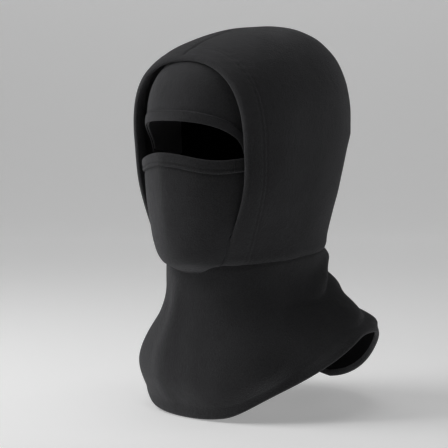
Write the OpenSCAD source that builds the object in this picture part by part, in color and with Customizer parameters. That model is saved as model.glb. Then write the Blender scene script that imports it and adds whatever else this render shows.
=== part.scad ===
// Hooded fleece balaclava, worn position.
// Frame: +Z up, the wearer faces -Y and the wearer's left is +X.
// Origin: the middle of the wearer's head, level with the eyes.
// Every fabric layer is a closed shell of its real thickness.

/* [Hood] */
// Half width of the outer hood at the ears, mm
hood_half_w = 98; // [92:1:104]
// Length of the outer hood ahead of the ears, if it closed in front, mm
hood_front = 131; // [126:1:136]
// Length of the outer hood behind the ears, mm
hood_back = 114; // [110:1:118]
// Height of the outer hood's crown above the eyes, mm
hood_crown = 110; // [106:1:116]
// How far the crown drops towards the face, as a share of its height
hood_lean = 0.15; // [0.12:0.01:0.18]
// Distance of the face rim ahead of the ears at eye level, mm
rim_reach = 81; // [78:1:84]

/* [Inner balaclava] */
// Half width of the inner cap at the ears, mm
cap_half_w = 78; // [75:1:80]
// Length of the inner cap ahead of the ears, mm
cap_front = 115; // [112:1:117]
// Length of the inner cap behind the ears, mm
cap_back = 106; // [103:1:108]
// Height of the inner cap's crown above the eyes, mm
cap_crown = 103; // [100:1:104]
// Half width of the eye opening, degrees seen from the head's middle
eye_half_w = 43.5; // [40:0.5:45]
// Top of the eye opening above its base, degrees
eye_rise = 23.7; // [20:0.1:25]

/* [Mask] */
// Half width of the mask at its top edge, mm
mask_half_w = 71.5; // [70.5:0.5:72]
// Distance of the mask's tip ahead of the ears at its top edge, mm
mask_tip = 117; // [114:1:119]
// Width of the mask's visible top hem, degrees round its tube to each side
mask_hem_side = 62; // [58:1:63]

/* [Drape] */
// Half width of the drape at the shoulders, mm
drape_half_w = 134; // [128:1:140]
// Half length of the drape, front to back, mm
drape_half_l = 121; // [115:1:126]
// How far the drape's middle lies behind the ears, mm
drape_shift = 20; // [15:1:25]
// Height of the hem over the shoulders, mm
hem_shoulder_z = -198; // [-202:1:-194]
// Height of the hem at the chest, mm
hem_front_z = -283; // [-290:1:-276]
// Height of the hem at the middle of the back, mm
hem_back_z = -270; // [-276:1:-262]

/* [Fabric] */
// Thickness of the outer fleece, mm
fleece = 2.4; // [2:0.1:2.6]
// Thickness of the thin inner fleece, mm
lining = 1.6; // [1.2:0.1:1.8]
// Width of the turned band round the face rim, mm
rim_band = 17; // [15:0.5:19]
// Width of the hem over the eyes, mm
forehead_band = 9; // [8:0.5:10]
// Width of the hem at the mask's top, mm
mask_band_w = 11.5; // [10:0.5:12]

/* [Hidden] */

fleece_colour = [0.16, 0.16, 0.17];
lining_colour = [0.10, 0.10, 0.11];
thread_colour = [0.07, 0.07, 0.08];

// Gap between two pieces that lie on each other.
gap = 0.15;
// Half thickness of a sewing thread.
thread_r = 0.45;

// Levels at which the head's sections are set, from the neck up to the ears.
levels = [-140, -100, -50, 0];
// Each section as a share of the size at the ears: half width, front and back.
hood_share = [[0.725, 0.816, 0.95, 1], [0.57, 0.80, 0.98, 1], [0.75, 0.765, 0.85, 1]];
cap_share = [[0.75, 0.82, 0.96, 1], [0.63, 0.80, 0.94, 1], [0.72, 0.755, 0.85, 1]];
// A head layer: half width, front, back, crown, shares, side power, crown power, lean.
hood = [hood_half_w, hood_front, hood_back, hood_crown, hood_share, 2.3, 2.6, hood_lean];
cap = [cap_half_w, cap_front, cap_back, cap_crown, cap_share, 2.2, 3.2, 0.1];

// The mask is a half tube round a point behind its tip, set at these levels.
mask_levels = [-138, -128, -110, -80, -50, -15];
mask_centre_y = -50;
mask_w_share = [0.53, 0.66, 0.79, 0.895, 0.96, 1];
mask_l_share = [0.51, 0.79, 0.90, 0.95, 0.985, 1];
mask_side = 78;
// The mask's hem lies on its outside, with the elastic under it.
hem_out = 2.5;
hem_in = 1.3;

// The neck seam lies in one plane that rises towards the nape.
seam_level = -124;
seam_rise = 0.087;
// The inner cap's front and back panels meet here.
coronal_y = -20;
// The cheek panels end and the forehead panel starts at this height.
cheek_top = -20;

function mix(a, b, t) = a + (b - a) * t;
function clamp01(t) = max(0, min(1, t));
function ease(t) = (1 - cos(180 * clamp01(t))) / 2;
function unit(v) = v / norm(v);
function flip_x(p) = [-p[0], p[1], p[2]];
function reversed(v) = [for (i = [len(v) - 1:-1:0]) v[i]];

// A smooth curve through the points (xs, ys), read at x.
function span_at(xs, x, i = 0) = i >= len(xs) - 2 || x < xs[i + 1] ? i : span_at(xs, x, i + 1);
function slope_at(xs, ys, i) =
    let (a = max(i - 1, 0), b = min(i + 1, len(xs) - 1)) (ys[b] - ys[a]) / (xs[b] - xs[a]);
function curve(xs, ys, x_raw) =
    let (x = max(xs[0], min(xs[len(xs) - 1], x_raw)),
        i = span_at(xs, x),
        h = xs[i + 1] - xs[i],
        t = (x - xs[i]) / h,
        s = t * t * (3 - 2 * t))
    mix(ys[i], ys[i + 1], s) + h * t * (1 - t)
        * (slope_at(xs, ys, i) * (1 - t) - slope_at(xs, ys, i + 1) * t);

// Sections of a head layer. Index 0 is the half width, 1 the front and 2 the back.
function size_at(layer, k, z) = layer[k] * curve(levels, layer[4][k], z);
function crown_z(layer, y, z) = z * (1 - layer[7] * y / layer[3]);
// Below 0 inside the layer, above 0 outside, when it is inset by t.
function outside(layer, p, t) =
    pow(abs(p[0]) / (size_at(layer, 0, p[2]) - t), layer[5])
    + pow(abs(p[1]) / (size_at(layer, p[1] > 0 ? 2 : 1, p[2]) - t), layer[5])
    + (p[2] > 0 ? pow(crown_z(layer, p[1], p[2]) / (layer[3] - t), layer[6]) : 0) - 1;
// Half width of the layer at depth y and height z.
function half_w(layer, y, z, t) =
    let (q = -outside(layer, [0, y, z], t))
    q > 0 ? (size_at(layer, 0, z) - t) * pow(q, 1 / layer[5]) : 0;
// The point of the layer in a direction seen from the origin.
function reach(layer, dir, t, lo = 40, hi = 220, k = 15) =
    let (r = (lo + hi) / 2)
    k == 0 ? r * dir
    : outside(layer, r * dir, t) > 0 ? reach(layer, dir, t, lo, r, k - 1)
    : reach(layer, dir, t, r, hi, k - 1);
function toward(side, up) = [sin(side) * cos(up), -cos(side) * cos(up), sin(up)];

function seam_z(y) = seam_level + seam_rise * y;
function rim_y(z) = -rim_reach - 0.09 * z - 0.0003 * z * z;
rim_low_z = seam_z(rim_y(seam_level));
nape_z = seam_z(size_at(hood, 2, seam_level));

// A closed solid between two grids of points of the same size.
// ring joins each row's end to its start; tip says that the last row is one point.
module shell(outer, inner, ring = false, tip = false) {
    rows = len(outer);
    cols = len(outer[0]);
    last = ring ? cols - 1 : cols - 2;
    function at(i, j, side) =
        side * rows * cols + i * cols + (tip && i == rows - 1 ? 0 : j % cols);
    skins = [for (i = [0:rows - 2]) for (j = [0:last]) each [
        [at(i, j, 0), at(i, j + 1, 0), at(i + 1, j + 1, 0)],
        [at(i, j, 0), at(i + 1, j + 1, 0), at(i + 1, j, 0)],
        [at(i, j, 1), at(i + 1, j + 1, 1), at(i, j + 1, 1)],
        [at(i, j, 1), at(i + 1, j, 1), at(i + 1, j + 1, 1)]]];
    ends = [for (j = [0:last]) each [
        [at(0, j, 0), at(0, j, 1), at(0, j + 1, 1)],
        [at(0, j, 0), at(0, j + 1, 1), at(0, j + 1, 0)],
        [at(rows - 1, j, 0), at(rows - 1, j + 1, 1), at(rows - 1, j, 1)],
        [at(rows - 1, j, 0), at(rows - 1, j + 1, 0), at(rows - 1, j + 1, 1)]]];
    sides = ring ? [] : [for (i = [0:rows - 2]) each [
        [at(i, 0, 0), at(i + 1, 0, 1), at(i, 0, 1)],
        [at(i, 0, 0), at(i + 1, 0, 0), at(i + 1, 0, 1)],
        [at(i, cols - 1, 0), at(i, cols - 1, 1), at(i + 1, cols - 1, 1)],
        [at(i, cols - 1, 0), at(i + 1, cols - 1, 1), at(i + 1, cols - 1, 0)]]];
    whole = [for (f = concat(skins, ends, sides))
        if (f[0] != f[1] && f[1] != f[2] && f[2] != f[0]) f];
    polyhedron(points = concat([for (r = outer) each r], [for (r = inner) each r]), faces = whole);
}

// A bar through rings of points; loop joins the last ring to the first.
module bar(rings, loop = false) {
    n = len(rings);
    m = len(rings[0]);
    walls = [for (i = [0:(loop ? n - 1 : n - 2)]) for (j = [0:m - 1]) each [
        [i * m + j, i * m + (j + 1) % m, ((i + 1) % n) * m + (j + 1) % m],
        [i * m + j, ((i + 1) % n) * m + (j + 1) % m, ((i + 1) % n) * m + j]]];
    caps = loop ? [] : [for (j = [1:m - 2]) each [
        [0, j + 1, j],
        [(n - 1) * m, (n - 1) * m + j, (n - 1) * m + j + 1]]];
    polyhedron(points = [for (r = rings) each r], faces = concat(walls, caps));
}

// A thread of square section along a path, standing out along the given normals.
module thread(path, normals, loop = false) {
    n = len(path);
    bar([for (i = [0:n - 1])
        let (a = path[loop ? (i + n - 1) % n : max(i - 1, 0)],
            b = path[loop ? (i + 1) % n : min(i + 1, n - 1)],
            up = unit(normals[i]),
            side = unit(cross(up, b - a)))
        [path[i] + gap * up, path[i] + (gap + thread_r) * up + thread_r * side,
            path[i] + (gap + 2 * thread_r) * up, path[i] + (gap + thread_r) * up - thread_r * side]],
        loop);
}

// ---- head layers ----

// Height at which a layer's middle line crosses the depth y = front(z) + d.
function top_at(layer, front, d, t, lo = 40, hi = 125, k = 16) =
    let (z = (lo + hi) / 2)
    k == 0 ? z
    : outside(layer, [0, (front ? rim_y(z) : coronal_y) + d, z], t) > 0
        ? top_at(layer, front, d, t, lo, z, k - 1)
        : top_at(layer, front, d, t, z, hi, k - 1);
// A point of the front edge of a layer, s from 0 at the neck seam to 1 at the crown.
function edge_at(layer, front, s, d, t) =
    let (low = front ? rim_low_z : seam_z(coronal_y),
        z = mix(low + seam_rise * d, top_at(layer, front, d, t), sin(90 * s)),
        y = (front ? rim_y(z) : coronal_y) + d)
    [s == 1 ? 0 : half_w(layer, y, z, t), y, z];
// A point of the middle line, s from 0 at the nape to 1 at the top of the front edge.
function middle_at(layer, front, s, t) =
    let (back_part = 0.28,
        top = edge_at(layer, front, 1, 0, t),
        turn = acos(-pow(-top[1] / (layer[1] - t), layer[5] / 2)) * (s - back_part) / (1 - back_part),
        c = cos(turn),
        y = sign(c) * (layer[c > 0 ? 2 : 1] - t) * pow(abs(c), 2 / layer[5]),
        h = (layer[3] - t) * pow(sin(turn), 2 / layer[6]),
        z_low = mix(nape_z, 0, s / back_part))
    s < back_part ? [0, size_at(layer, 2, z_low) - t, z_low]
    : [0, y, h / (1 - layer[7] * y / layer[3])];
// Half of a head layer, from its front edge back to the middle line.
function half_layer(layer, front, rows, cols, t) = [for (i = [0:rows])
    let (s = i / rows, a = edge_at(layer, front, s, 0, t), b = middle_at(layer, front, s, t))
    [for (j = [0:cols])
        let (p = mix(a, b, pow(sin(90 * j / cols), 1.35)))
        j == cols || i == rows ? [gap, b[1], b[2]]
        : [max(gap, half_w(layer, p[1], p[2], t)), p[1], p[2]]]];

module half_shell(layer, front, rows, cols, thick) {
    shell(half_layer(layer, front, rows, cols, 0), half_layer(layer, front, rows, cols, thick),
        tip = true);
}

// A flat strip inside a layer, along its middle line.
module inner_strip(layer, front, t, thick, width, last, steps) {
    bar([for (i = [0:steps])
        let (s = mix(0.02, last, i / steps),
            a = middle_at(layer, front, s, t),
            b = middle_at(layer, front, s, t + thick))
        [a + [width, 0, 0], a - [width, 0, 0], b - [width, 0, 0], b + [width, 0, 0]]]);
}

// A bar round the face rim. Its section is a list of [inset, distance behind the rim].
module rim_bar(section, steps, first = 0) {
    half = [for (i = [0:steps]) [for (c = section)
        edge_at(hood, true, mix(first, 1, i / steps), c[1], c[0])]];
    other = [for (i = [steps - 1:-1:0]) [for (p = half[i]) flip_x(p)]];
    bar(concat(half, other));
}

module rim_thread(d) {
    rim_bar([[-gap, d], [-gap - thread_r, d + thread_r], [-gap - 2 * thread_r, d],
        [-gap - thread_r, d - thread_r]], 24, 0.02);
}

module hood_panel_left() {
    color(fleece_colour) half_shell(hood, true, 26, 16, fleece);
}

module hood_panel_right() {
    color(fleece_colour) mirror([1, 0, 0]) half_shell(hood, true, 26, 16, fleece);
}

module hood_crown_seam() {
    color(lining_colour) inner_strip(hood, true, fleece + 0.9, 1.4, 3, 0.9, 40);
}

module hood_face_hem() {
    inside = fleece + 1.1;
    fold = 2 * fleece + 0.5;
    color(fleece_colour) rim_bar([[inside, -gap], [inside, rim_band / 2], [inside, rim_band],
        [fold, rim_band], [fold, rim_band / 2], [fold, 0],
        [fold - 0.6, -1.9], [fold - 1.6, -2.8], [1.4, -2.8], [0.4, -1.9], [0, -gap]], 26);
}

module hood_stitch_front() {
    color(thread_colour) rim_thread(rim_band - 4);
}

module hood_stitch_rear() {
    color(thread_colour) rim_thread(rim_band);
}

module inner_cap_left() {
    color(lining_colour) half_shell(cap, false, 18, 12, lining);
}

module inner_cap_right() {
    color(lining_colour) mirror([1, 0, 0]) half_shell(cap, false, 18, 12, lining);
}

module inner_cap_seam() {
    color(lining_colour) inner_strip(cap, false, lining + 0.7, 1.2, 3, 0.98, 28);
}

// ---- forehead and cheeks ----

// The eye opening's upper edge, turn from 0 at its left base to 180 at its right base.
function eye_edge(turn, wider) =
    let (c = cos(turn), w = eye_half_w + wider, h = eye_rise + wider)
    toward(sign(c) * w * pow(abs(c), 2 / 2.7), h * pow(sin(turn), 2 / 2.7) - 16);
// The forehead panel from that edge back to the inner cap, turn as above.
function forehead_grid(t) = [for (j = [0:9]) [for (i = [0:28])
    let (turn = 12 + 156 * i / 28,
        s = 1 - abs(cos(turn) / cos(12)),
        start = eye_edge(turn, 0),
        top = top_at(cap, false, -gap, t),
        z = mix(cheek_top, top, sin(90 * s)),
        x = abs(turn - 90) < 1 ? 0 : half_w(cap, coronal_y - gap, z, t),
        finish = unit([x * sign(cos(turn)), coronal_y - gap, z]))
    reach(cap, unit(mix(start, finish, j / 9)), t)]];

// Front edge of the cheek panels.
function cheek_y(z) = -71.5 - 0.17 * z;
function cheek_grid(t) = [for (i = [0:9]) [for (j = [0:6])
    let (v = i / 9,
        y_low = mix(cheek_y(seam_level), coronal_y - gap, j / 6),
        y_top = mix(cheek_y(cheek_top), coronal_y - gap, j / 6),
        z = mix(seam_z(y_low), cheek_top - 3, v),
        y = mix(y_low, y_top, v))
    [half_w(cap, y, z, t), y, z]]];

module cheek_panel() {
    shell(cheek_grid(0), cheek_grid(lining));
}

module forehead_panel() {
    color(fleece_colour) shell(forehead_grid(0), forehead_grid(fleece));
}

module forehead_hem() {
    hem = forehead_band / 2;
    function layer_at(t) = [for (w = [-0.6, 0, hem / 2, hem]) [for (i = [0:36])
        reach(cap, eye_edge(mix(7, 173, i / 36), w), t)]];
    color(fleece_colour) shell(layer_at(-fleece), layer_at(-gap));
}

module forehead_stitch() {
    path = [for (i = [0:36]) reach(cap, eye_edge(mix(7, 173, i / 36), forehead_band / 2 - 0.5), -fleece)];
    color(thread_colour) thread(path, path);
}

module cheek_panel_left() {
    color(lining_colour) cheek_panel();
}

module cheek_panel_right() {
    color(lining_colour) mirror([1, 0, 0]) cheek_panel();
}

// ---- mask ----

function mask_top(turn) = -18.5 - 7.5 * ease(abs(turn) / 48) + 2.5 * ease((abs(turn) - 48) / 30);
// A point of the mask: turn round its tube from the tip, height, inset.
function mask_at(turn, z, t) =
    [(mask_half_w * curve(mask_levels, mask_w_share, z) - t) * sin(turn),
        mask_centre_y - ((mask_tip + mask_centre_y) * curve(mask_levels, mask_l_share, z) - t)
            * cos(turn), z];
// The mask's edge band at a distance below its top edge.
function mask_row(below, t, side, steps) =
    [for (i = [0:steps]) let (turn = mix(-side, side, i / steps)) mask_at(turn, mask_top(turn) - below, t)];
// The mask ends just ahead of the rim's hem low down and behind it higher up.
function mask_side_at(z) =
    let (length = (mask_tip + mask_centre_y) * curve(mask_levels, mask_l_share, z))
    mix(acos((mask_centre_y - rim_y(z) + 3.6) / length), mask_side, ease((z + 100) / 12));
function mask_low(turn) = mix(-138, -130.8, ease((abs(turn) - 35) / 43));
// A point of the mask panel, k from 0 at its chin edge to 1 at its top.
function mask_point(turn, k, t) =
    let (z = mix(mask_low(turn), mask_top(turn), k))
    mask_at(turn * mask_side_at(z) / mask_side, z, t);
// Under the chin the mask turns in to the neck.
function chin_point(turn, t) =
    let (p = mask_point(turn, 0, 0),
        across = abs(p[0]) / size_at(hood, 0, seam_level),
        neck_y = -size_at(hood, 1, seam_z(-75)) * pow(1 - pow(across, hood[5]), 1 / hood[5]),
        shut = 1 - ease((abs(turn) - 45) / 30))
    [p[0], mix(p[1] + 0.5, neck_y - 0.8, shut), p[2] + t];
function mask_grid(t) =
    let (turns = [for (i = [0:22]) mix(-mask_side, mask_side, i / 22)])
    concat([[for (a = turns) chin_point(a, t)]],
        [for (j = [0:14]) [for (a = turns) mask_point(a, mix(t / 110, 1, j / 14), t)]]);

module mask_panel() {
    color(fleece_colour) shell(mask_grid(0), mask_grid(fleece));
}

module mask_strip(top, low, steps, t_out, t_in) {
    rows = [for (i = [0:steps]) mix(low, top, i / steps)];
    shell([for (b = rows) mask_row(b, t_out, mask_hem_side, 30)],
        [for (b = rows) mask_row(b, t_in, mask_hem_side, 30)]);
}

module mask_hem() {
    color(fleece_colour) mask_strip(-1.2, mask_band_w, 3, -hem_out, -hem_in);
}

module mask_elastic() {
    color(lining_colour) mask_strip(1, mask_band_w - 4.5, 1, gap - hem_in, -gap);
}

module mask_stitch(below) {
    path = mask_row(below, -hem_out, mask_hem_side - 1, 30);
    thread(path, [for (p = path) p - [0, mask_centre_y, p[2]]]);
}

module mask_stitch_upper() {
    color(thread_colour) mask_stitch(mask_band_w - 3.8);
}

module mask_stitch_lower() {
    color(thread_colour) mask_stitch(mask_band_w - 0.6);
}

// ---- drape ----

// Half width of a superellipse: cosine or sine raised to the hood's side power.
function rounded(c) = sign(c) * pow(abs(c), 2 / hood[5]);
// The neck seam loop, turn 0 at the wearer's left and 90 at the back.
function seam_loop(turn) =
    let (s = sin(turn),
        k = s > 0 ? 2 : 1,
        y = size_at(hood, k, seam_z(k == 2 ? 80 : -75)) * rounded(s))
    [size_at(hood, 0, seam_level) * rounded(cos(turn)), y, seam_z(y)];
// Height of the drape's hem: high over the shoulders, low at the chest and back.
function hem_z(turn) =
    let (a = asin(sin(turn)))
    a < 15 ? mix(hem_shoulder_z, hem_front_z, ease((15 - a) / 80))
    : mix(hem_shoulder_z, hem_back_z, ease((a - 17) / 78));
function hem_loop(turn) =
    [drape_half_w * cos(turn), drape_shift + drape_half_l * sin(turn), hem_z(turn)];
// Two soft rolls across the nape, with creases that sink towards the shoulders.
function rolls(turn, s) =
    let (a = asin(sin(turn)),
        drop = s * (seam_loop(turn)[2] - hem_z(turn)),
        sink = 24 * ease((45 - a) / 45),
        first = drop - 21 - sink,
        second = drop - 53 - 0.9 * sink,
        shown = ease((a + 12) / 42))
    shown * (3.2 * exp(-pow((first + 11) / 8, 2)) - 3 * exp(-pow(first / 6, 2))
        + 2.6 * exp(-pow((first - 14) / 9, 2)) - 2.2 * exp(-pow(second / 7, 2)));
// How far the drape has flared out at s. It closes in again at the chest, runs straight
// down the back and lies flatter over the shoulders.
fall_steps = [0, 0.21, 0.38, 0.53, 0.66, 0.75, 0.86, 1];
fall_behind = [0, 0.05, 0.20, 0.35, 0.60, 0.78, 0.96, 1];
fall_beside = [0, 0.01, 0.05, 0.12, 0.27, 0.43, 0.69, 1];
function flare(turn, s) =
    let (ahead = ease((s - 0.17) / 0.62) - 0.42 * ease((s - 0.76) / 0.26),
        round_way = mix(ahead, curve(fall_steps, fall_behind, s), ease((sin(turn) + 0.5) / 1.2)),
        beside = exp(-pow((asin(sin(turn)) + 8) / 27, 2)))
    mix(round_way, curve(fall_steps, fall_beside, s), beside);
function drape_at(turn, s) =
    let (a = seam_loop(turn), b = hem_loop(turn), f = flare(turn, s), out = unit([a[0], a[1], 0]))
    [mix(a[0], b[0], f), mix(a[1], b[1], f), mix(a[2] - 0.6, b[2], s)] + rolls(turn, s) * out;
// The drape's surface moved inward by t.
function drape_inset(turn, s, t) =
    let (p = drape_at(turn, s),
        round_way = drape_at(turn + 2, s) - drape_at(turn - 2, s),
        down_way = drape_at(turn, min(1, s + 0.02)) - drape_at(turn, max(0, s - 0.02)),
        inward = unit(cross(round_way, down_way)),
        flat_in = unit([inward[0], inward[1], inward[2] * min(1, 6 * s)]))
    p + t * flat_in;

drape_turns = 44;
function drape_grid(t, low) = [for (i = [0:15]) [for (j = [0:drape_turns - 1])
    drape_inset(360 * j / drape_turns, low * i / 15, t)]];

module drape_outer() {
    color(fleece_colour) shell(reversed(drape_grid(0, 0.985)), reversed(drape_grid(fleece, 0.985)), ring = true);
}

module drape_lining() {
    color(lining_colour) shell(reversed(drape_grid(fleece + 0.4, 0.985)),
        reversed(drape_grid(fleece + 0.4 + lining, 0.985)), ring = true);
}

module drape_hem() {
    thick = fleece + 0.4 + lining;
    color(fleece_colour) bar([for (j = [0:59])
        let (turn = 360 * j / 60,
            p = drape_at(turn, 0.99),
            q = drape_inset(turn, 0.99, thick),
            down = unit(drape_at(turn, 1) - drape_at(turn, 0.97)))
        [p, q, q + 2 * down, mix(q, p, 0.5) + 3 * down, p + 2 * down]], loop = true);
}

module neck_seam() {
    path = [for (j = [0:48])
        reach(hood, unit(seam_loop(mix(-58, 238, j / 48)) + [0, 0, 2.3]), -gap)];
    color(thread_colour) thread(path, [for (p = path) [p[0], p[1], 0]]);
}

hood_panel_left();
hood_panel_right();
hood_crown_seam();
hood_face_hem();
hood_stitch_front();
hood_stitch_rear();
inner_cap_left();
inner_cap_right();
inner_cap_seam();
forehead_panel();
forehead_hem();
forehead_stitch();
cheek_panel_left();
cheek_panel_right();
neck_seam();
mask_panel();
mask_hem();
mask_elastic();
mask_stitch_upper();
mask_stitch_lower();
drape_outer();
drape_lining();
drape_hem();
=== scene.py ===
"""A hooded fleece balaclava: every fabric piece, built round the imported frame.

Lengths in the shape functions are millimetres, as in the part's source. They become metres
where a mesh is made. +Z is up, the wearer faces -Y and the wearer's left is +X.
"""
import math

import bpy
import numpy as np
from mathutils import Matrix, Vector


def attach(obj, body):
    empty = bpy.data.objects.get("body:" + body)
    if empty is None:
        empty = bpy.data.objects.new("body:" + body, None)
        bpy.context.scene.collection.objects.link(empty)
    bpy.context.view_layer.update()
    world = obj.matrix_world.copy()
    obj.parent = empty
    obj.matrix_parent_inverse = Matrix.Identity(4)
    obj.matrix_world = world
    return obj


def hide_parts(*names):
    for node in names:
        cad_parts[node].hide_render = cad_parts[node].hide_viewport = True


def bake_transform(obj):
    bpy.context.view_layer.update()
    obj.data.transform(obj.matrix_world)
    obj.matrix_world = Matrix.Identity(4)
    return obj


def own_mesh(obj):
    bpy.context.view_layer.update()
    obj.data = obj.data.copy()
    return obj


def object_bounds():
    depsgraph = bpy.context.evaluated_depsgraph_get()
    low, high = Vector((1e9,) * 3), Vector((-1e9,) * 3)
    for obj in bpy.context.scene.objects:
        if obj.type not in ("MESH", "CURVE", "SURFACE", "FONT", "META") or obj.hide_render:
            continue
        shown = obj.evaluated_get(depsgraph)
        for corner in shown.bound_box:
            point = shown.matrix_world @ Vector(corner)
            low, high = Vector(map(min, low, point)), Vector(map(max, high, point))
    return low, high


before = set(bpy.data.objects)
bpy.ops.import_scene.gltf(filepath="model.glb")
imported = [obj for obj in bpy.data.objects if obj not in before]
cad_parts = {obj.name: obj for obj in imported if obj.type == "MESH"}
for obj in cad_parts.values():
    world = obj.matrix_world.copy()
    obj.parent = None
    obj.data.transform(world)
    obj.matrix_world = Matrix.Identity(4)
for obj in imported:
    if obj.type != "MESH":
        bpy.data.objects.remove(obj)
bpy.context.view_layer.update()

MM = 0.001

# ---- driving sizes, as in the part's source; FOREHEAD_BAND is half of the part's ----
FLEECE = 2.4
LINING = 1.6
GAP = 0.15
LEVELS = [-140, -100, -50, 0]
RIM_ROWS = (13.0, 17.0)
FOREHEAD_BAND = 4.5
MASK_HALF_W = 71.5
MASK_TIP = 117
MASK_CENTRE_Y = -50
MASK_SIDE = 78
MASK_HEM_SIDE = 62
MASK_LEVELS = [-138, -128, -110, -80, -50, -15]
MASK_W_SHARE = [0.53, 0.66, 0.79, 0.895, 0.96, 1]
MASK_L_SHARE = [0.51, 0.79, 0.90, 0.95, 0.985, 1]
MASK_ROWS = (7.7, 11.2)
EYE_HALF_W = 43.5
EYE_RISE = 23.7
DRAPE_HALF_W = 134
DRAPE_HALF_L = 121
DRAPE_SHIFT = 20
HEM_SHOULDER = -198
HEM_FRONT = -283
HEM_BACK = -270
SEAM_LEVEL = -124
CORONAL_Y = -20
CHEEK_TOP = -20


# ---- small maths ----
def mix(a, b, t):
    return a + (b - a) * t


def clamp01(t):
    return np.clip(t, 0.0, 1.0)


def ease(t):
    return (1 - np.cos(np.pi * clamp01(t))) / 2


def bell(d, width):
    return np.exp(-((d / width) ** 2))


def unit(v):
    return v / np.maximum(np.linalg.norm(v, axis=-1, keepdims=True), 1e-9)


def curve(xs, ys, x):
    """A smooth curve through the points (xs, ys), read at x."""
    xs, ys = np.asarray(xs, float), np.asarray(ys, float)
    n = len(xs)
    x = np.clip(x, xs[0], xs[-1])
    i = np.clip(np.searchsorted(xs, x, side="right") - 1, 0, n - 2)
    low, high = np.maximum(np.arange(n) - 1, 0), np.minimum(np.arange(n) + 1, n - 1)
    slope = (ys[high] - ys[low]) / (xs[high] - xs[low])
    h = xs[i + 1] - xs[i]
    t = (x - xs[i]) / h
    bend = h * t * (1 - t) * (slope[i] * (1 - t) - slope[i + 1] * t)
    return mix(ys[i], ys[i + 1], t * t * (3 - 2 * t)) + bend


def swell(p, size, seed):
    """A smooth wander from -1 to 1 over space, with bumps about size wide."""
    rng = np.random.default_rng(seed)
    total = 0
    for _ in range(5):
        way = unit(rng.normal(size=3))
        total = total + np.sin(p @ way * (2 * np.pi / (size * rng.uniform(0.7, 1.6))) + rng.uniform(0, 6.28))
    return total / 5


# ---- head layers ----
class Layer:
    """One layer of fabric round the head, as a smooth closed form."""

    def __init__(self, half_w, front, back, crown, shares, side_power, crown_power, lean):
        self.sizes = (half_w, front, back)
        self.crown, self.shares, self.lean = crown, shares, lean
        self.side_power, self.crown_power = side_power, crown_power

    def size(self, k, z):
        return self.sizes[k] * curve(LEVELS, self.shares[k], z)

    def rest(self, y, z, t):
        length = np.where(y > 0, self.size(2, z), self.size(1, z)) - t
        up = np.where(z > 0, np.maximum(z * (1 - self.lean * y / self.crown), 0), 0) / (self.crown - t)
        return (np.abs(y) / length) ** self.side_power + up**self.crown_power

    def outside(self, p, t=0):
        side = (np.abs(p[..., 0]) / (self.size(0, p[..., 2]) - t)) ** self.side_power
        return side + self.rest(p[..., 1], p[..., 2], t) - 1

    def half_w(self, y, z, t=0):
        room = np.maximum(1 - self.rest(y, z, t), 0)
        return (self.size(0, z) - t) * room ** (1 / self.side_power)

    def normal(self, p):
        step = 0.4
        moves = np.eye(3) * step
        slope = [self.outside(p + m) - self.outside(p - m) for m in moves]
        return unit(np.stack(slope, -1))

    def reach(self, way, t=0):
        low, high = np.full(way.shape[:-1], 40.0), np.full(way.shape[:-1], 220.0)
        for _ in range(22):
            r = (low + high) / 2
            out = self.outside(way * r[..., None], t) > 0
            low, high = np.where(out, low, r), np.where(out, r, high)
        return way * low[..., None]


HOOD_SHARE = [[0.725, 0.816, 0.95, 1], [0.57, 0.80, 0.98, 1], [0.75, 0.765, 0.85, 1]]
CAP_SHARE = [[0.75, 0.82, 0.96, 1], [0.63, 0.80, 0.94, 1], [0.72, 0.755, 0.85, 1]]
hood = Layer(98, 131, 114, 110, HOOD_SHARE, 2.3, 2.6, 0.15)
cap = Layer(78, 115, 106, 103, CAP_SHARE, 2.2, 3.2, 0.1)


def toward(side, up):
    side, up = np.radians(side), np.radians(up)
    return np.stack([np.sin(side) * np.cos(up), -np.cos(side) * np.cos(up), np.sin(up)], -1)


def seam_z(y):
    return SEAM_LEVEL + 0.087 * y


def rim_y(z):
    return -81 - 0.09 * z - 0.0003 * z * z


RIM_LOW_Z = seam_z(rim_y(SEAM_LEVEL))
NAPE_Z = float(seam_z(hood.size(2, SEAM_LEVEL)))


def front_y(front, z):
    return rim_y(z) if front else np.full_like(np.asarray(z, float), CORONAL_Y)


def top_at(layer, front, d, t):
    low, high = 40.0, 125.0
    for _ in range(30):
        z = (low + high) / 2
        p = np.array([0.0, float(front_y(front, z)) + d, z])
        if layer.outside(p, t) > 0:
            high = z
        else:
            low = z
    return low


def edge_at(layer, front, s, d=0.0, t=0.0):
    """Points of a layer's front edge, s from 0 at the neck seam to 1 at the crown."""
    s = np.asarray(s, float)
    low = RIM_LOW_Z if front else seam_z(CORONAL_Y)
    z = mix(low + 0.087 * d, top_at(layer, front, d, t), np.sin(np.pi / 2 * s))
    y = front_y(front, z) + d
    return np.stack([np.where(s >= 1, 0, layer.half_w(y, z, t)), y, z], -1)


def middle_at(layer, front, s, t=0.0):
    """Points of a layer's middle line, s from 0 at the nape to 1 at the top of the front edge."""
    back_part = 0.28
    top = edge_at(layer, front, 1.0, 0, t)
    power, crown = layer.side_power, layer.crown - t
    reach_front, reach_back = layer.sizes[1] - t, layer.sizes[2] - t
    full = math.acos(-((-top[1] / reach_front) ** (power / 2)))
    turn = full * (s - back_part) / (1 - back_part)
    c = np.cos(turn)
    y = np.sign(c) * np.where(c > 0, reach_back, reach_front) * np.abs(c) ** (2 / power)
    h = crown * np.maximum(np.sin(turn), 0) ** (2 / layer.crown_power) / (1 - layer.lean * y / layer.crown)
    z_low = mix(NAPE_Z, 0, s / back_part)
    y = np.where(s < back_part, layer.size(2, z_low) - t, y)
    return np.stack([0 * s, y, np.where(s < back_part, z_low, h)], -1)


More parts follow.
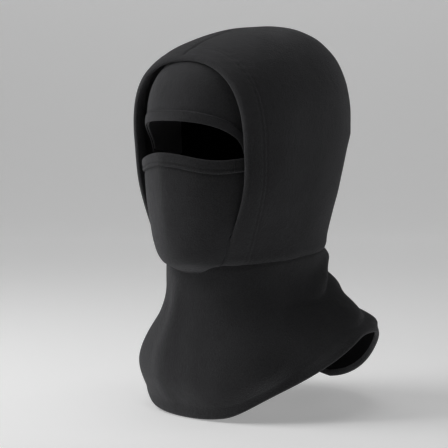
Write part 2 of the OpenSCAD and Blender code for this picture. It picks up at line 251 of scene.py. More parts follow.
def half_layer(layer, front, s, w):
    """Half of a head layer: s along its front edge and w from that edge back to the middle."""
    a, b = edge_at(layer, front, s), middle_at(layer, front, s)
    p = mix(a[:, None], b[:, None], w[None, :, None])
    x = np.maximum(GAP, layer.half_w(p[..., 1], p[..., 2]))
    x[:, -1] = GAP
    x[-1] = GAP
    p[..., 0] = x
    return p


# ---- materials ----
def shader(name, colour, rough, sheen, nap, nap_size, depth, tone, shine=0.25, weave=None):
    """A brushed or woven fabric: nap bumps, clumps, soft tone changes and sheen."""
    m = bpy.data.materials.new(name)
    m.use_nodes = True
    t = m.node_tree
    t.nodes.clear()
    out = t.nodes.new("ShaderNodeOutputMaterial")
    b = t.nodes.new("ShaderNodeBsdfPrincipled")
    t.links.new(b.outputs["BSDF"], out.inputs["Surface"])
    b.inputs["Roughness"].default_value = rough
    b.inputs["Specular IOR Level"].default_value = shine
    b.inputs["Sheen Weight"].default_value = sheen
    b.inputs["Sheen Roughness"].default_value = 0.55
    b.inputs["Sheen Tint"].default_value = (0.8, 0.8, 0.84, 1)
    place = t.nodes.new("ShaderNodeTexCoord")

    def noise(scale, detail, rough_share):
        n = t.nodes.new("ShaderNodeTexNoise")
        n.inputs["Scale"].default_value = scale
        n.inputs["Detail"].default_value = detail
        n.inputs["Roughness"].default_value = rough_share
        t.links.new(place.outputs["Object"], n.inputs["Vector"])
        return n

    fine = noise(1 / nap_size, 4, 0.62)
    clump = noise(0.16 / nap_size, 3, 0.55)
    broad = noise(14, 2, 0.5)
    both = t.nodes.new("ShaderNodeMath")
    both.operation = "MULTIPLY_ADD"
    both.inputs[1].default_value = 0.55
    t.links.new(clump.outputs["Fac"], both.inputs[0])
    t.links.new(fine.outputs["Fac"], both.inputs[2])
    height = both.outputs[0]
    if weave:
        wave = t.nodes.new("ShaderNodeTexWave")
        wave.inputs["Scale"].default_value = weave
        wave.inputs["Distortion"].default_value = 0.6
        t.links.new(place.outputs["Object"], wave.inputs["Vector"])
        add = t.nodes.new("ShaderNodeMath")
        add.operation = "ADD"
        t.links.new(height, add.inputs[0])
        t.links.new(wave.outputs["Fac"], add.inputs[1])
        height = add.outputs[0]
    bump = t.nodes.new("ShaderNodeBump")
    bump.inputs["Strength"].default_value = nap
    bump.inputs["Distance"].default_value = depth
    t.links.new(height, bump.inputs["Height"])
    t.links.new(bump.outputs["Normal"], b.inputs["Normal"])

    mixed = t.nodes.new("ShaderNodeMath")
    mixed.operation = "MULTIPLY_ADD"
    mixed.inputs[1].default_value = 0.6
    t.links.new(broad.outputs["Fac"], mixed.inputs[0])
    t.links.new(fine.outputs["Fac"], mixed.inputs[2])
    ramp = t.nodes.new("ShaderNodeValToRGB")
    ramp.color_ramp.elements[0].position = 0.55
    ramp.color_ramp.elements[1].position = 1.05
    ramp.color_ramp.elements[0].color = (*[c * (1 - tone) for c in colour], 1)
    ramp.color_ramp.elements[1].color = (*[c * (1 + tone) for c in colour], 1)
    t.links.new(mixed.outputs[0], ramp.inputs["Fac"])
    t.links.new(ramp.outputs["Color"], b.inputs["Base Color"])
    return m


FLEECE_BLACK = (0.0215, 0.0215, 0.0228)
# The lining colour is partly the knit's own black and partly painted shade. It is set about ten times darker
# than the fleece, so the inside of the drape, the inner cap and the eye opening come out as dark as shade.
LINING_BLACK_PAINTED_SHADE = (0.0025, 0.0025, 0.0028)
THREAD_BLACK = (0.010, 0.010, 0.011)
fleece = shader("fleece_face", FLEECE_BLACK, 0.93, 0.22, 0.9, 0.0012, 0.0012, 0.5)
lining = shader("lining_knit_painted_shade", LINING_BLACK_PAINTED_SHADE, 0.95, 0.01, 0.5, 0.0008, 0.0005, 0.25, shine=0.05)
thread = shader("sewing_thread", THREAD_BLACK, 0.55, 0.05, 0.4, 0.0004, 0.0002, 0.2)
elastic = shader("elastic_tape", THREAD_BLACK, 0.7, 0.05, 0.5, 0.0006, 0.0004, 0.2, weave=900)


# ---- meshes ----
def make(name, points, faces, material, slot_name, nodes):
    """A mesh piece that stands for the CAD node of the same name."""
    name = name + "_fabric" if slot_name in ("fleece", "lining") else name + "_sewn"
    mesh = bpy.data.meshes.new(name)
    mesh.from_pydata((np.asarray(points) * MM).tolist(), [], faces)
    mesh.validate()
    mesh.polygons.foreach_set("use_smooth", [True] * len(mesh.polygons))
    mesh.materials.append(material)
    obj = bpy.data.objects.new(name, mesh)
    bpy.context.scene.collection.objects.link(obj)
    if nodes:
        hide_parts(*nodes)
    return obj


def quads(index, close_rows=False, close_cols=False):
    """Quads over a grid of vertex numbers."""
    a = index
    if close_rows:
        a = np.vstack([a, a[:1]])
    if close_cols:
        a = np.hstack([a, a[:, :1]])
    f = np.stack([a[:-1, :-1], a[:-1, 1:], a[1:, 1:], a[1:, :-1]], -1)
    return f.reshape(-1, 4)


def tidy(faces):
    """Faces as lists, with doubled corners left out."""
    kept = []
    for f in faces.tolist():
        g = [v for k, v in enumerate(f) if v != f[k - 1]]
        if len(g) > 2:
            kept.append(g)
    return kept


def outward(grid, ring):
    """Unit normals of a grid from its own shape; rows run across cols."""
    du = np.gradient(grid, axis=0)
    if ring:
        dv = (np.roll(grid, -1, 1) - np.roll(grid, 1, 1)) / 2
    else:
        dv = np.gradient(grid, axis=1)
    return unit(np.cross(du, dv))


ROUND_STEPS = 4


def cloth(name, grid, normal, thick, material, slot_name, nodes, ring=False, tip=False):
    """A closed sheet of cloth under a grid of points, with rounded edges.

    normal points out of the cloth's face. tip says that the last row is a single point."""
    rows, cols = grid.shape[:2]
    normal = unit(normal)
    back = grid - normal * thick
    if tip:
        back[-1] = back[-1, cols // 2]
    points = [grid.reshape(-1, 3), back.reshape(-1, 3)]
    face = np.arange(rows * cols).reshape(rows, cols)
    if tip:
        face[-1] = face[-1, 0]
    under = face + rows * cols
    flip = np.einsum("ijk,ijk->ij", outward(grid, ring), normal)[1:-1, 1:-1].mean() < 0
    all_faces = [quads(face, close_cols=ring), quads(under, close_cols=ring)[:, ::-1]]
    count = 2 * rows * cols

    def rim(loop_out, loop_in, inner_out, closed):
        """Rounds one edge of the sheet: loops of vertex numbers, and the points just inside."""
        nonlocal count
        flat_points = np.vstack(points[:2])
        p, q = flat_points[loop_out], flat_points[loop_in]
        n = unit(p - q)
        away = p - inner_out
        away = unit(away - n * np.sum(away * n, -1, keepdims=True))
        h = np.linalg.norm(p - q, axis=-1, keepdims=True) / 2
        loops = [loop_out]
        for k in range(1, ROUND_STEPS):
            turn = math.pi * k / ROUND_STEPS
            points.append(p - n * h * (1 - math.cos(turn)) + away * h * math.sin(turn))
            loops.append(count + np.arange(len(p)))
            count += len(p)
        loops.append(loop_in)
        all_faces.append(quads(np.array(loops), close_cols=closed))

    if ring:
        rim(face[0], under[0], grid[1], True)
        rim(face[-1][::-1], under[-1][::-1], grid[-2][::-1], True)
    elif tip:
        loop = np.concatenate([face[-1, :1], face[-2::-1, 0], face[0, 1:], face[1:-1, -1]])
        inner = np.vstack([grid[-3, :1], grid[-2::-1, 1], grid[1, 1:-1], grid[1:2, -2], grid[1:-1, -2]])
        rim(loop, loop + rows * cols, inner, True)
    else:
        loop = np.concatenate([face[::-1, 0], face[0, 1:], face[1:, -1], face[-1, -2:0:-1]])
        mid = grid.copy()
        mid[0], mid[-1] = grid[1], grid[-2]
        mid[:, 0], mid[:, -1] = mid[:, 1], mid[:, -2]
        flat = mid.reshape(-1, 3)
        rim(loop, loop + rows * cols, flat[loop], True)
    faces = np.vstack(all_faces)
    if flip:
        faces = faces[:, ::-1]
    obj = make(name, np.vstack(points), tidy(faces), material, slot_name, nodes)
    clean(obj)
    return obj


def clean(obj):
    """Drops loose points, joins doubled ones and points every face outward."""
    import bmesh

    b = bmesh.new()
    b.from_mesh(obj.data)
    bmesh.ops.remove_doubles(b, verts=b.verts, dist=1e-6)
    bmesh.ops.delete(b, geom=[v for v in b.verts if not v.link_faces], context="VERTS")
    bmesh.ops.recalc_face_normals(b, faces=b.faces)
    b.to_mesh(obj.data)
    b.free()


def sweep(name, rings, material, slot_name, nodes, closed=False):
    """A solid through rings of points; closed joins the last ring to the first."""
    rings = np.asarray(rings)
    n, m = rings.shape[:2]
    index = np.arange(n * m).reshape(n, m)
    faces = quads(index, close_rows=closed, close_cols=True).tolist()
    points = rings.reshape(-1, 3)
    if not closed:
        ends = np.stack([rings[0].mean(0), rings[-1].mean(0)])
        points = np.vstack([points, ends])
        for k in range(m):
            faces.append([n * m, index[0, (k + 1) % m], index[0, k]])
            faces.append([n * m + 1, index[-1, k], index[-1, (k + 1) % m]])
    obj = make(name, points, faces, material, slot_name, nodes)
    clean(obj)
    return obj


def along(path, normals, spacing):
    """Points, directions and normals at even steps along a path."""
    gaps = np.linalg.norm(np.diff(path, axis=0), axis=1)
    where = np.concatenate([[0], np.cumsum(gaps)])
    count = max(2, int(where[-1] / spacing))
    at = (np.arange(count) + 0.5) * where[-1] / count
    p = np.stack([np.interp(at, where, path[:, k]) for k in range(3)], -1)
    n = unit(np.stack([np.interp(at, where, normals[:, k]) for k in range(3)], -1))
    ahead = np.stack([np.interp(at + 0.5, where, path[:, k]) for k in range(3)], -1)
    behind = np.stack([np.interp(at - 0.5, where, path[:, k]) for k in range(3)], -1)
    return p, unit(ahead - behind), n


def stitches(name, path, normals, body, nodes, length=2.3, spacing=3.1, radius=0.26, lift=-0.1):
    """A row of single stitches: each one rises out of the fabric and dips back in."""
    p, way, n = along(path, normals, spacing)
    side = unit(np.cross(n, way))
    steps = np.array([-1, -0.85, -0.45, 0, 0.45, 0.85, 1])
    rise = np.array([-0.9, -0.25, 0.15, 0.25, 0.15, -0.25, -0.9])
    fat = np.array([0.35, 0.85, 1, 1, 1, 0.85, 0.35])
    sides = 6
    points, faces = [], []
    for i in range(len(p)):
        base = len(points)
        for step, r, f in zip(steps, rise, fat):
            centre = p[i] + way[i] * step * length / 2 + n[i] * (r * radius * 1.6 + lift)
            for k in range(sides):
                turn = 2 * math.pi * k / sides
                points.append(centre + radius * f * (math.cos(turn) * side[i] + math.sin(turn) * n[i]))
        rings = np.arange(len(steps) * sides).reshape(len(steps), sides) + base
        faces += quads(rings, close_cols=True).tolist()
        faces.append(rings[0][::-1].tolist())
        faces.append(rings[-1].tolist())
    obj = make(name, points, faces, thread, "thread", nodes)
    clean(obj)
    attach(obj, body)
    return obj


def mirrored(p):
    return p * np.array([-1.0, 1.0, 1.0])


# ---- hood ----
def hood_relief(p):
    """How far the hood's face stands proud of its plain form."""
    behind = p[..., 1] - rim_y(p[..., 2])
    above_seam = p[..., 2] - seam_z(p[..., 1])
    rows = sum(bell(behind - r, 0.95) for r in RIM_ROWS)
    band = 0.3 * bell(behind - 8, 4.5) + 0.1 * bell(behind - 15, 1.0)
    crown = bell(p[..., 0], 2.0) * (p[..., 2] > -140)
    pucker = 0.16 * np.sin(p[..., 2] * 0.9) * bell(behind - 15, 5)
    soft = 0.7 * swell(p, 75, 3) + 0.35 * swell(p, 34, 4)
    away = ease((behind - 12) / 30)
    return (
        band - 0.34 * rows + pucker + soft * away
        - 1.15 * crown - 0.9 * bell(above_seam, 2.2) + 0.5 * bell(above_seam - 6, 4)
    )


def hood_panel(name, side):
    s = np.linspace(0, 1, 150)
    near = np.linspace(0, 0.13, 30)
    far = 0.13 + 0.87 * np.sin(np.pi / 2 * np.linspace(0, 1, 76)[1:])
    p = half_layer(hood, True, s, np.concatenate([near, far]))
    n = hood.normal(p)
    face = p + n * hood_relief(p)[..., None]
    face[..., 0] = np.maximum(face[..., 0], GAP)
    face[-1] = face[-1, 0]
    if side < 0:
        face, n = mirrored(face), mirrored(n)
    obj = cloth(name, face, n, FLEECE, fleece, "fleece", [name], tip=True)
    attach(obj, "head")
    return obj


def rim_path(d, t, steps, first=0.0):
    """A path round the whole face rim, d behind it and inset by t."""
    half = edge_at(hood, True, np.linspace(first, 1, steps), d, t)
    return np.vstack([half, mirrored(half[-2::-1])])


def face_hem():
    """The rim's turned edge: a soft roll in front and a flat band inside."""
    middle, r = 2.9, 3.0
    turns = np.radians(np.linspace(100, -100, 17))
    roll = [(middle - r * math.sin(a) * 0.95, 0.2 - r * math.cos(a) * 0.92) for a in turns]
    inner = [(5.7, 2.0), (5.4, 5.0), (5.3, 11.0), (5.3, 16.0), (4.6, 17.2), (3.6, 17.0), (3.0, 15.0)]
    under = [(3.0, 9.0), (3.0, 4.0), (2.2, 1.6)]
    steps = 150
    rings = np.stack([rim_path(d, t, steps) for t, d in roll + inner + under], 1)
    obj = sweep("hood_face_hem", rings, fleece, "fleece", ["hood_face_hem"])
    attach(obj, "head")
    return obj


hood_left = hood_panel("hood_panel_left", 1)
hood_right = hood_panel("hood_panel_right", -1)
face_hem()
for name, d in zip(("hood_stitch_front", "hood_stitch_rear"), RIM_ROWS):
    path = rim_path(d, 0.55, 160, 0.02)
    stitches(name, path, hood.normal(path), "head", [name])


def inner_strip(name, layer, front, t, thick, width, last):
    """A narrow overlocked seam allowance inside a layer."""
    s = np.linspace(0.02, last, 90)
    a, b = middle_at(layer, front, s, t), middle_at(layer, front, s, t + thick)
    ripple = 0.25 * np.sin(np.arange(90) * 1.3)[:, None] * np.array([1.0, 0, 0])
    across = np.linspace(-1, 1, 7)
    crowned = [mix(a, b, 0.35 * x * x) + ripple + np.array([width * x, 0, 0]) for x in across]
    lower = [b + ripple * 0.6 + np.array([width * x, 0, 0]) for x in across[::-1]]
    obj = sweep(name, np.stack(crowned + lower, 1), lining, "lining", [name])
    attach(obj, "head")


inner_strip("hood_crown_seam", hood, True, FLEECE + 0.9, 1.4, 3, 0.9)


# ---- inner cap, cheeks and forehead ----
def cap_panel(name, side):
    s = np.linspace(0, 1, 70)
    w = np.sin(np.pi / 2 * np.linspace(0, 1, 60))
    p = half_layer(cap, False, s, w)
    n = cap.normal(p)
    face = p + n * (0.5 * swell(p, 60, 8) - 0.6 * bell(p[..., 0], 2.0))[..., None]
    face[..., 0] = np.maximum(face[..., 0], GAP)
    face[-1] = face[-1, 0]
    if side < 0:
        face, n = mirrored(face), mirrored(n)
    obj = cloth(name, face, n, LINING, lining, "lining", [name], tip=True)
    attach(obj, "head")
    return obj


cap_left = cap_panel("inner_cap_left", 1)
cap_right = cap_panel("inner_cap_right", -1)
inner_strip("inner_cap_seam", cap, False, LINING + 0.7, 1.2, 3, 0.98)


def eye_edge(turn, wider):
    """Directions of the eye opening's upper edge, turn from 0 at its left to 180 at its right."""
    c, s = np.cos(np.radians(turn)), np.sin(np.radians(turn))
    w, h = EYE_HALF_W + wider, EYE_RISE + wider
    return toward(np.sign(c) * w * np.abs(c) ** (2 / 2.7), h * np.abs(s) ** (2 / 2.7) - 16)


def forehead():
    turn = 12 + 156 * np.linspace(0, 1, 130)
    c = np.cos(np.radians(turn))
    s = 1 - np.abs(c / math.cos(math.radians(12)))
    z = mix(CHEEK_TOP, top_at(cap, False, -GAP, 0), np.sin(np.pi / 2 * s))
    y = np.full_like(z, CORONAL_Y - GAP)
    x = np.where(np.abs(turn - 90) < 0.7, 0, cap.half_w(y, z))
    finish = unit(np.stack([x * np.sign(c), y, z], -1))
    start = eye_edge(turn, 0)
    j = np.concatenate([np.linspace(0, 0.12, 22), np.linspace(0.12, 1, 56)[1:]])
    way = unit(mix(start[None], finish[None], j[:, None, None]))
    p = cap.reach(way)
    n = cap.normal(p)
    lift = 0.35 * swell(p, 50, 12)
    return cloth("forehead_panel", p + n * lift[..., None], n, FLEECE, fleece, "fleece", ["forehead_panel"])


forehead_panel = forehead()
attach(forehead_panel, "head")


def forehead_hem():
    """The turned band over the eyes, rolled round the opening's edge."""
    turn = np.linspace(7, 173, 200)
    top = [(-0.6, -0.1), (-0.8, -0.5), (-0.7, -0.9), (-0.3, -1.3), (0.3, -1.5), (1.3, -1.6), (2.4, -1.55)]
    top += [(3.4, -1.35), (4.0, -1.0), (4.35, -0.5), (4.5, -0.12)]
    low = [(3.0, -0.12), (1.2, -0.12), (0.1, -0.12)]
    rings = np.stack([cap.reach(eye_edge(turn, w), t) for w, t in top + low], 1)
    obj = sweep("forehead_hem", rings, fleece, "fleece", ["forehead_hem"])
    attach(obj, "head")
    path = cap.reach(eye_edge(turn, FOREHEAD_BAND - 0.75), -1.15)
    stitches("forehead_stitch", path, cap.normal(path), "head", ["forehead_stitch"])
    return obj


forehead_hem()


def cheek_panel(name, side):
    z_share, y_share = np.linspace(0, 1, 50)[:, None], np.linspace(0, 1, 40)[None]
    front_low, front_top = -71.5 - 0.17 * SEAM_LEVEL, -71.5 - 0.17 * CHEEK_TOP
    y_low, y_top = mix(front_low, CORONAL_Y - GAP, y_share), mix(front_top, CORONAL_Y - GAP, y_share)
    z = mix(seam_z(y_low), CHEEK_TOP - 3, z_share)
    y = mix(y_low, y_top, z_share)
    p = np.stack([cap.half_w(y, z), y, z], -1)
    n = cap.normal(p)
    face = p + n * (0.3 * swell(p, 40, 15))[..., None]
    if side < 0:
        face, n = mirrored(face), mirrored(n)
    obj = cloth(name, face, n, LINING, lining, "lining", [name])
    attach(obj, "head")
    return obj


cheek_left = cheek_panel("cheek_panel_left", 1)
cheek_right = cheek_panel("cheek_panel_right", -1)


# ---- mask ----
def mask_top(turn):
    turn = np.abs(turn)
    return -18.5 - 7.5 * ease(turn / 48) + 2.5 * ease((turn - 48) / 30)


def mask_at(turn, z, t=0.0):
    """Points of the mask: turn round its tube from the tip, height, inset."""
    a = np.radians(turn)
    ridge = 3.6 * np.exp(-np.sqrt((turn / 13) ** 2 + 0.25)) * 1.65 * ease((z + 132) / 60)
    length = (MASK_TIP + MASK_CENTRE_Y) * curve(MASK_LEVELS, MASK_L_SHARE, z) + ridge - t
    width = MASK_HALF_W * curve(MASK_LEVELS, MASK_W_SHARE, z) - t
    return np.stack([width * np.sin(a), MASK_CENTRE_Y - length * np.cos(a), z + 0 * a], -1)


def mask_side_at(z):
    length = (MASK_TIP + MASK_CENTRE_Y) * curve(MASK_LEVELS, MASK_L_SHARE, z)
    ahead = np.degrees(np.arccos((MASK_CENTRE_Y - rim_y(z) + 3.6) / length))
    return mix(ahead, MASK_SIDE, ease((z + 100) / 12))


def mask_low(turn):
    return mix(-138, -130.8, ease((np.abs(turn) - 35) / 43))


def mask_grid():
    turn = np.linspace(-MASK_SIDE, MASK_SIDE, 150)[None]
    low_part, high_part = np.linspace(0, 0.12, 14), np.linspace(0.85, 1, 26)[1:]
    k = np.concatenate([low_part, np.linspace(0.12, 0.85, 60)[1:], high_part])
    z = mix(mask_low(turn), mask_top(turn), k[:, None])
    p = mask_at(turn * mask_side_at(z) / MASK_SIDE, z)
    across = np.abs(p[0, :, 0]) / hood.size(0, SEAM_LEVEL)
    neck = -hood.size(1, seam_z(-75)) * np.maximum(1 - across**hood.side_power, 0) ** (1 / hood.side_power)
    shut = 1 - ease((np.abs(turn[0]) - 45) / 30)
    tuck = p[0].copy()
    tuck[:, 1] = mix(p[0, :, 1] + 0.5, neck - 0.8, shut)
    under = []
    for q in np.linspace(0, 1, 7)[:-1]:
        row = mix(tuck, p[0], q)
        row[:, 2] -= 1.2 * math.sin(math.pi * (1 - q) / 2) * shut
        under.append(row)
    return np.vstack([np.array(under), p])


def mask_panel():
    p = mask_grid()
    n = outward(p, False)
    n = n * np.sign(np.sum(n * unit(p - np.array([0, MASK_CENTRE_Y, -75.0])), -1, keepdims=True))
    below = mask_top(np.degrees(np.arctan2(p[..., 0], MASK_CENTRE_Y - p[..., 1]))) - p[..., 2]
    relief = 0.45 * swell(p, 55, 21) * ease(below / 30) - 0.5 * bell(below - 12.6, 1.4)
    face = p + n * relief[..., None]
    return cloth("mask_panel", face, n, FLEECE, fleece, "fleece", ["mask_panel"])


mask = mask_panel()
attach(mask, "head")
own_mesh(mask)


def mask_row(below, t, side=MASK_HEM_SIDE, steps=150):
    turn = np.linspace(-side, side, steps)
    return mask_at(turn, mask_top(turn) - below, t)


def mask_hem():
    """The turned band along the mask's top, rolled over its edge."""
    out = [(-0.7, 1.2), (-1.2, 0.5), (-1.4, -0.3), (-1.2, -1.0), (-0.6, -1.5), (0.4, -1.8), (2.5, -1.95)]
    out += [(5.0, -1.85), (6.6, -1.55), (7.3, -1.2), (7.7, -1.1), (8.1, -1.2), (9.0, -1.6), (9.8, -1.65)]
    out += [(10.6, -1.3), (11.2, -0.9), (11.7, -0.5), (12.0, -0.2)]
    inside = [(10, -0.2), (6, -0.2), (2, -0.2), (0.3, -0.1), (-0.3, 0.4), (-0.4, 1.2)]
    rings = np.stack([mask_row(b, t) for b, t in out + inside], 1)
    obj = sweep("mask_hem", rings, fleece, "fleece", ["mask_hem"])
    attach(obj, "mask_edge")
    return obj


hem_mask = mask_hem()


def mask_hem_ends():
    """The band's last stretch each side, sewn down with the mask panel under the rim."""
    section = [(-1.0, 0.4), (-1.2, -0.4), (-0.6, -1.3), (0.4, -1.6), (5.0, -1.6), (6.9, -1.3), (7.7, -0.95)]
    section += [(8.6, -1.4), (10.0, -1.35), (11.2, -0.8), (12.0, -0.2), (6, -0.1), (0.3, -0.1)]
    for side, label in ((1, "left"), (-1, "right")):
        turn = side * np.linspace(MASK_HEM_SIDE + 0.3, MASK_SIDE - 1.5, 24)
        rings = np.stack([mask_at(turn, mask_top(turn) - b, t) for b, t in section], 1)
        obj = sweep("mask_hem_end_" + label, rings, fleece, "fleece", [])
        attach(obj, "head")
        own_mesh(obj)


mask_hem_ends()
tape_rows = [(1.2, -0.4), (1.2, -0.85), (4.0, -0.95), (7.0, -0.85), (7.0, -0.4), (4.0, -0.35)]
tape_rings = np.stack([mask_row(b, t, 60) for b, t in tape_rows], 1)
tape = sweep("mask_elastic", tape_rings, elastic, "elastic", ["mask_elastic"])
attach(tape, "mask_edge")
for name, below, t in zip(("mask_stitch_upper", "mask_stitch_lower"), MASK_ROWS, (-1.15, -0.95)):
    path = mask_row(below, t, MASK_HEM_SIDE - 1)
    outward_way = path - np.array([0, MASK_CENTRE_Y, 0]) - path * [0, 0, 1]
    stitches(name, path, outward_way, "mask_edge", [name])


# ---- drape ----
def rounded(c):
    return np.sign(c) * np.abs(c) ** (2 / hood.side_power)


def seam_loop(turn):
    """The neck seam, turn 0 at the wearer's left and 90 at the back."""
    s, c = np.sin(np.radians(turn)), np.cos(np.radians(turn))
    y = np.where(s > 0, hood.size(2, seam_z(80)), hood.size(1, seam_z(-75))) * rounded(s)
    return np.stack([hood.size(0, SEAM_LEVEL) * rounded(c), y, seam_z(y)], -1)


def hem_loop(turn):
    """The drape's hem: high over the shoulders, low at the chest and the back."""
    r = np.radians(turn)
    a = np.degrees(np.arcsin(np.sin(r)))
    ahead = mix(HEM_SHOULDER, HEM_FRONT, ease((15 - a) / 80))
    behind = mix(HEM_SHOULDER, HEM_BACK, ease((a - 17) / 78))
    z = np.where(a < 15, ahead, behind) + 7 * bell(a + 46, 20)
    return np.stack([DRAPE_HALF_W * np.cos(r), DRAPE_SHIFT + DRAPE_HALF_L * np.sin(r), z], -1)


FALL_STEPS = [0, 0.21, 0.38, 0.53, 0.66, 0.75, 0.86, 1]
FALL_BEHIND = [0, 0.05, 0.20, 0.35, 0.60, 0.78, 0.96, 1]
FALL_BESIDE = [0, 0.01, 0.05, 0.12, 0.27, 0.43, 0.69, 1]


def half_turn(turn):
    """The turn folded to one side: -90 in front, 0 over a shoulder and 90 at the back."""
    return np.degrees(np.arcsin(np.sin(np.radians(turn))))


def flare(turn, s):
    """How far the drape has flared out at s: bell shaped in front, flatter over the shoulders."""
    ahead = ease((s - 0.17) / 0.62) - 0.42 * ease((s - 0.76) / 0.26)
    behind = curve(FALL_STEPS, FALL_BEHIND, s)
    beside = curve(FALL_STEPS, FALL_BESIDE, s)
    way_round = mix(ahead, behind, ease((np.sin(np.radians(turn)) + 0.5) / 1.2))
    return mix(way_round, beside, bell(half_turn(turn) + 8, 27))


def rolls(turn, s):
    """Two soft rolls across the nape, with creases that sink towards the shoulders."""
    a = half_turn(turn)
    drop = s * (seam_loop(turn)[..., 2] - hem_loop(turn)[..., 2])
    sink = 24 * ease((45 - a) / 45)
    first, second = drop - 21 - sink, drop - 53 - 0.9 * sink
    shown = ease((a + 12) / 42)
    sharp = 6.4 * np.exp(-(np.abs(first) / 4.4) ** 1.3) + 5.4 * np.exp(-(np.abs(second) / 5.0) ** 1.3)
    full = 4.4 * bell(first + 11, 8) + 4.2 * bell(first - 15, 10) + 1.6 * bell(second - 12, 9)
    return shown * (full - sharp)


def folds(turn, s):
    """Soft folds of the drape: a ridge in front, a valley down each side and broad waves."""
    ridge_at = -99 - 3 * s
    ridge = 4.6 * bell(turn_gap(turn, ridge_at), 9) * ease(s / 0.25) * (1 - ease((s - 0.6) / 0.35))
    left_valley = -5.0 * bell(turn_gap(turn, -30), 26) * bell(s - 0.45, 0.26)
    right_valley = -4.0 * bell(turn_gap(turn, 205), 24) * bell(s - 0.48, 0.24)
    waves = 1.4 * np.sin(np.radians(turn) * 5 + 0.8) * ease((s - 0.35) / 0.5)
    return ridge + left_valley + right_valley + waves


def turn_gap(turn, at):
    return (turn - at + 180) % 360 - 180


def drape_grid(turn, s):
    turn, s = turn[None], s[:, None]
    a, b, f = seam_loop(turn), hem_loop(turn), flare(turn, s)[..., None]
    out = unit(a * np.array([1.0, 1.0, 0]))
    level = np.stack([mix(a[..., 0], b[..., 0], f[..., 0]), mix(a[..., 1], b[..., 1], f[..., 0])], -1)
    z = mix(a[..., 2] - 0.6, b[..., 2], s)
    p = np.concatenate([level, z[..., None]], -1)
    return p + (rolls(turn, s) + folds(turn, s))[..., None] * out


TURNS = np.linspace(0, 360, 241)[:-1]
top_part, hem_part = np.linspace(0, 0.08, 12), np.linspace(0.93, 0.99, 12)[1:]
fall = np.concatenate([top_part, np.linspace(0.08, 0.93, 90)[1:], hem_part])
drape_face = drape_grid(TURNS, fall)
drape_normal = outward(drape_face, True)
out_way = unit(drape_face - np.array([0, DRAPE_SHIFT, -210.0]))
drape_normal *= np.sign(np.mean(np.sum(drape_normal * out_way, -1)))
soft = 0.9 * swell(drape_face, 70, 31) + 0.35 * swell(drape_face, 30, 32)
tuck_in = -0.9 * bell(fall, 0.02)[:, None]
hem_edge = 0.5 * bell(fall - 0.975, 0.022)[:, None] - 0.35 * bell(fall - 0.925, 0.012)[:, None]
below_seam, above_hem = ease(fall / 0.12)[:, None], (1 - ease((fall - 0.9) / 0.08))[:, None]
relief = soft * below_seam * above_hem + tuck_in + hem_edge
drape_face = drape_face + drape_normal * relief[..., None]
level_at_seam = np.stack([0 * fall + 1, 0 * fall + 1, clamp01(6 * fall)], -1)[:, None]
flat_way = unit(drape_normal * level_at_seam)
drape = cloth("drape_outer", drape_face, flat_way, FLEECE, fleece, "fleece", ["drape_outer"], ring=True)
inner_face = drape_face - flat_way * (FLEECE + 0.4)
drape_lining = cloth("drape_lining", inner_face[1:-3], flat_way[1:-3], LINING, lining, "lining",
                     ["drape_lining"], ring=True)


def drape_hem():
    """The bottom edge: the outer fleece turned under in one soft roll."""
    edge, way = drape_face[-1], flat_way[-1]
    down = unit(drape_face[-1] - drape_face[-5])
    thick = FLEECE + 0.4 + LINING
    rings = []
    for a in np.radians(np.linspace(-20, 200, 15)):
        out = thick / 2 * (math.cos(a) - 1) * 1.06 + 0.15
        low = math.sin(a) * 2.9
        rings.append(edge + way * out + down * (0.3 + low))
    rings.append(edge - way * (thick + 0.2) - down * 6)
    rings.append(edge - way * (thick - 0.9) - down * 6)
    obj = sweep("drape_hem", np.stack(rings, 1), fleece, "fleece", ["drape_hem"], closed=True)
    return obj


hem_drape = drape_hem()
for piece in (drape, drape_lining, hem_drape):
    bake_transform(piece)

seam_turns = np.linspace(-58, 238, 260)
seam_path = hood.reach(unit(seam_loop(seam_turns) + np.array([0, 0, 0.4])), 1.0)
stitches("neck_seam", seam_path, seam_path * np.array([1.0, 1.0, 0]), "head", ["neck_seam"], spacing=3.0)

# ---- floor, light and camera ----
CAMERA_TURN = math.radians(44)
CAMERA_RISE = math.radians(4)
CAMERA_AWAY = 1.6
back = Vector((math.sin(CAMERA_TURN) * math.cos(CAMERA_RISE),
               -math.cos(CAMERA_TURN) * math.cos(CAMERA_RISE), math.sin(CAMERA_RISE)))
right = Vector((math.cos(CAMERA_TURN), math.sin(CAMERA_TURN), 0))
up = back.cross(right)
aim = -0.02184 * right - 0.0936 * up

camera_data = bpy.data.cameras.new("camera")
camera_data.lens = 123.6
camera = bpy.data.objects.new("camera", camera_data)
bpy.context.scene.collection.objects.link(camera)
camera.location = aim + back * CAMERA_AWAY
camera.rotation_mode = "QUATERNION"
camera.rotation_quaternion = back.to_track_quat("Z", "Y")
bpy.context.scene.camera = camera


def plain(name, colour, rough, glow):
    """A plain material that glows a little, as the walls of a light tent do."""
    m = bpy.data.materials.new(name)
    m.use_nodes = True
    b = m.node_tree.nodes["Principled BSDF"]
    b.inputs["Base Color"].default_value = (*colour, 1)
    b.inputs["Roughness"].default_value = rough
    b.inputs["Emission Color"].default_value = (1, 1, 1, 1)
    b.inputs["Emission Strength"].default_value = glow
    return m


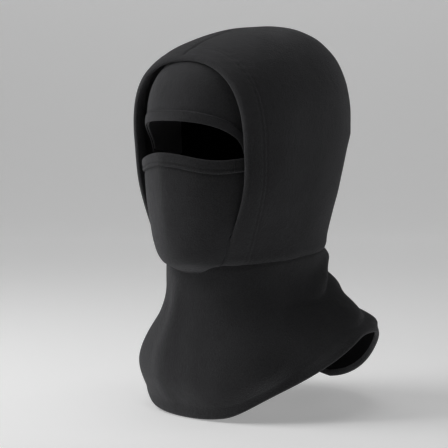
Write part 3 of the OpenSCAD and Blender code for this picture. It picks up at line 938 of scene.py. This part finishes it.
def floor():
    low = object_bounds()[0].z - 0.0005
    size, bend, height, steps = 3.0, 0.8, 3.0, 12
    profile = [(-size, 0.0), (size - bend, 0.0)]
    for k in range(1, steps + 1):
        a = math.pi / 2 * k / steps
        profile.append((size - bend + bend * math.sin(a), bend * (1 - math.cos(a))))
    profile.append((size, height))
    away, across = Vector((-back.x, -back.y, 0)).normalized(), Vector((right.x, right.y, 0))
    points, faces = [], []
    for d, h in profile:
        for side in (-size, size):
            points.append(away * d + across * side + Vector((0, 0, low + h)))
    for k in range(len(profile) - 1):
        faces.append([2 * k, 2 * k + 1, 2 * k + 3, 2 * k + 2])
    mesh = bpy.data.meshes.new("backdrop")
    mesh.from_pydata([list(p) for p in points], [], faces)
    mesh.polygons.foreach_set("use_smooth", [True] * len(mesh.polygons))
    mesh.materials.append(plain("backdrop", (0.86, 0.86, 0.86), 0.9, 0.30))
    obj = bpy.data.objects.new("backdrop", mesh)
    bpy.context.scene.collection.objects.link(obj)


floor()


def soft_light(name, turn, rise, away, size, power):
    """A square soft light, turn and rise in degrees from the wearer's front."""
    a, e = math.radians(turn), math.radians(rise)
    way = Vector((math.sin(a) * math.cos(e), -math.cos(a) * math.cos(e), math.sin(e)))
    data = bpy.data.lights.new(name, "AREA")
    data.shape = "SQUARE"
    data.size = size
    data.energy = power
    obj = bpy.data.objects.new(name, data)
    obj.location = Vector((0, 0, -0.08)) + way * away
    obj.rotation_mode = "QUATERNION"
    obj.rotation_quaternion = way.to_track_quat("Z", "Y")
    bpy.context.scene.collection.objects.link(obj)


LIGHTS = {
    "key": (-42, 38, 1.5, 0.9, 11.5),
    "top": (20, 82, 1.4, 1.0, 4.2),
    "fill": (60, 15, 2.2, 1.2, 0.2),
    "edge": (150, 25, 1.7, 0.8, 1.0),
}
for name, values in LIGHTS.items():
    soft_light(name, *values)

world = bpy.data.worlds.new("studio")
world.use_nodes = True
world.node_tree.nodes["Background"].inputs["Color"].default_value = (1, 1, 1, 1)
world.node_tree.nodes["Background"].inputs["Strength"].default_value = 0.0
bpy.context.scene.world = world
bpy.context.scene.view_settings.view_transform = "Standard"
